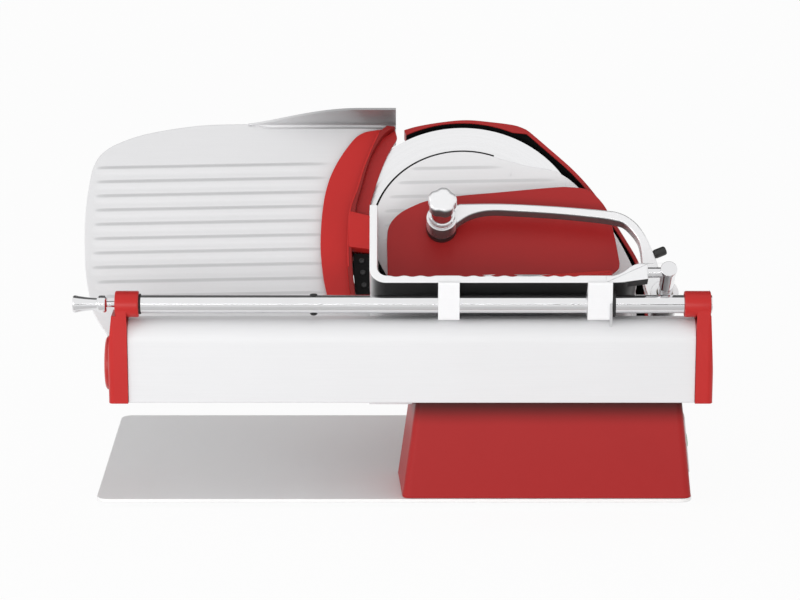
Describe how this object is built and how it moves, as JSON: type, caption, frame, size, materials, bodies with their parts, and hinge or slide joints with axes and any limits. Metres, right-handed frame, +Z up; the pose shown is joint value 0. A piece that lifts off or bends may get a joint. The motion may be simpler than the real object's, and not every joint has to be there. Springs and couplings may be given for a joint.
{
  "type": "meat slicer",
  "caption": "Gravity-feed meat slicer with a red body, a tilted blade and gauge plate, and a sloping food carriage with a swinging pusher arm that runs on a front rail.",
  "frame": {"origin": "centre of the overall box, on the standing surface under the feet", "axes": "+X along the carriage travel, from the thickness dial end to the motor end; +Y from the carriage side to the blade and motor side; +Z up"},
  "size_m": [0.6405, 0.3054, 0.3586],
  "materials": {
    "red_paint": "satin",
    "satin_aluminium": "satin anodised",
    "brushed_steel": "ground",
    "chrome": "polished",
    "black_plastic": "smooth",
    "black_rubber": "matt",
    "green_plastic": "smooth",
    "brass": "turned"
  },
  "bodies": {
    "machine": {"base_plate": "satin_aluminium", "foot_front_left": "black_rubber", "foot_front_right": "black_rubber", "foot_back_left": "black_rubber", "foot_back_right": "black_rubber", "pedestal": "red_paint", "housing_bracket": "satin_aluminium", "switch_panel": "satin_aluminium", "switch_box": "black_plastic", "cord_gland": "black_rubber", "front_housing": "satin_aluminium", "end_cap_left": "red_paint", "end_cap_right": "red_paint", "carriage_rail": "chrome", "rail_stop_pin": "black_rubber", "rail_seal": "black_rubber", "slide_guide": "brushed_steel", "blade_housing": "red_paint", "front_bearing": "brushed_steel", "rear_bearing": "brushed_steel", "drive_belt": "black_rubber", "motor": "brushed_steel", "motor_cover": "red_paint", "blade_cover": "satin_aluminium"},
    "carriage": {"food_table": "satin_aluminium", "guide_rod": "chrome", "slide_block_left": "satin_aluminium", "slide_block_right": "satin_aluminium", "rail_wiper": "black_rubber", "carriage_clip": "chrome", "carriage_skid": "black_plastic", "hand_guard": "red_paint", "guard_support": "black_plastic"},
    "arm_slider": {"arm_bushing": "brass"},
    "pusher": {"pusher_arm": "satin_aluminium", "pusher_post": "black_plastic", "pusher_plate": "red_paint", "arm_bumper": "black_plastic"},
    "pusher_grip": {"pusher_knob": "chrome"},
    "dial": {"thickness_dial": "red_paint", "dial_cam_shaft": "brushed_steel"},
    "gauge": {"gauge_plate": "satin_aluminium", "gauge_arm": "satin_aluminium", "gauge_slide": "brushed_steel"},
    "blade_group": {"blade": "brushed_steel", "blade_shaft": "brushed_steel", "blade_screw_1": "brushed_steel", "blade_screw_2": "brushed_steel", "blade_screw_3": "brushed_steel", "blade_pulley": "satin_aluminium"},
    "motor_group": {"motor_shaft": "brushed_steel", "motor_pulley": "brushed_steel"},
    "cover_tie": {"cover_tie_knob": "black_plastic"},
    "rail_lock": {"lock_knob": "chrome"},
    "start_button": {"on_button": "green_plastic"},
    "stop_button": {"off_button": "black_plastic"}
  },
  "joints": [
    {"name": "carriage_travel", "type": "slide", "parent": "machine", "child": "carriage", "axis": [1, 0, 0], "range_m": [-0.215, 0.065]},
    {"name": "pusher_slide", "type": "slide", "parent": "carriage", "child": "arm_slider", "axis": [0, -0.766, 0.6428], "range_m": [-0.032, 0.038]},
    {"name": "pusher_swing", "type": "hinge", "parent": "arm_slider", "child": "pusher", "pos_m": [0.2743, -0.02363, 0.14798], "axis": [0, -0.766, 0.6428], "range_deg": [-100, 0]},
    {"name": "pusher_knob_turn", "type": "hinge", "parent": "pusher", "child": "pusher_grip", "pos_m": [0.0522, 0.03872, 0.22229], "axis": [0, -0.766, 0.6428], "range_deg": [0, 350]},
    {"name": "dial_turn", "type": "hinge", "parent": "machine", "child": "dial", "pos_m": [-0.28, -0.1027, 0.1383], "axis": [1, 0, 0], "range_deg": [0, 300]},
    {"name": "gauge_shift", "type": "slide", "parent": "machine", "child": "gauge", "axis": [0, 0.766, -0.6428], "range_m": [0, 0.014]},
    {"name": "blade_spin", "type": "hinge", "parent": "machine", "child": "blade_group", "pos_m": [0.0758, 0.05081, 0.23669], "axis": [0, -0.766, 0.6428], "continuous": true},
    {"name": "motor_spin", "type": "hinge", "parent": "machine", "child": "motor_group", "pos_m": [0.1758, 0.00331, 0.18008], "axis": [0, -0.766, 0.6428], "continuous": true},
    {"name": "cover_tie_turn", "type": "hinge", "parent": "machine", "child": "cover_tie", "pos_m": [0.0758, 0.05081, 0.23669], "axis": [0, -0.766, 0.6428], "range_deg": [0, 350]},
    {"name": "rail_lock_turn", "type": "hinge", "parent": "machine", "child": "rail_lock", "pos_m": [-0.29, -0.1397, 0.2086], "axis": [1, 0, 0], "range_deg": [0, 350]},
    {"name": "start_press", "type": "slide", "parent": "machine", "child": "start_button", "axis": [-0.9941, 0, -0.108], "range_m": [0, 0.002], "stiffness_N_per_m": 900},
    {"name": "stop_press", "type": "slide", "parent": "machine", "child": "stop_button", "axis": [-0.9941, 0, -0.108], "range_m": [0, 0.002], "stiffness_N_per_m": 900}
  ],
  "couplings": [
    {"joint": "gauge_shift", "follows": "dial_turn", "m_per_rad": 0.0026738},
    {"joint": "motor_spin", "follows": "blade_spin", "ratio": 3.3333}
  ]
}
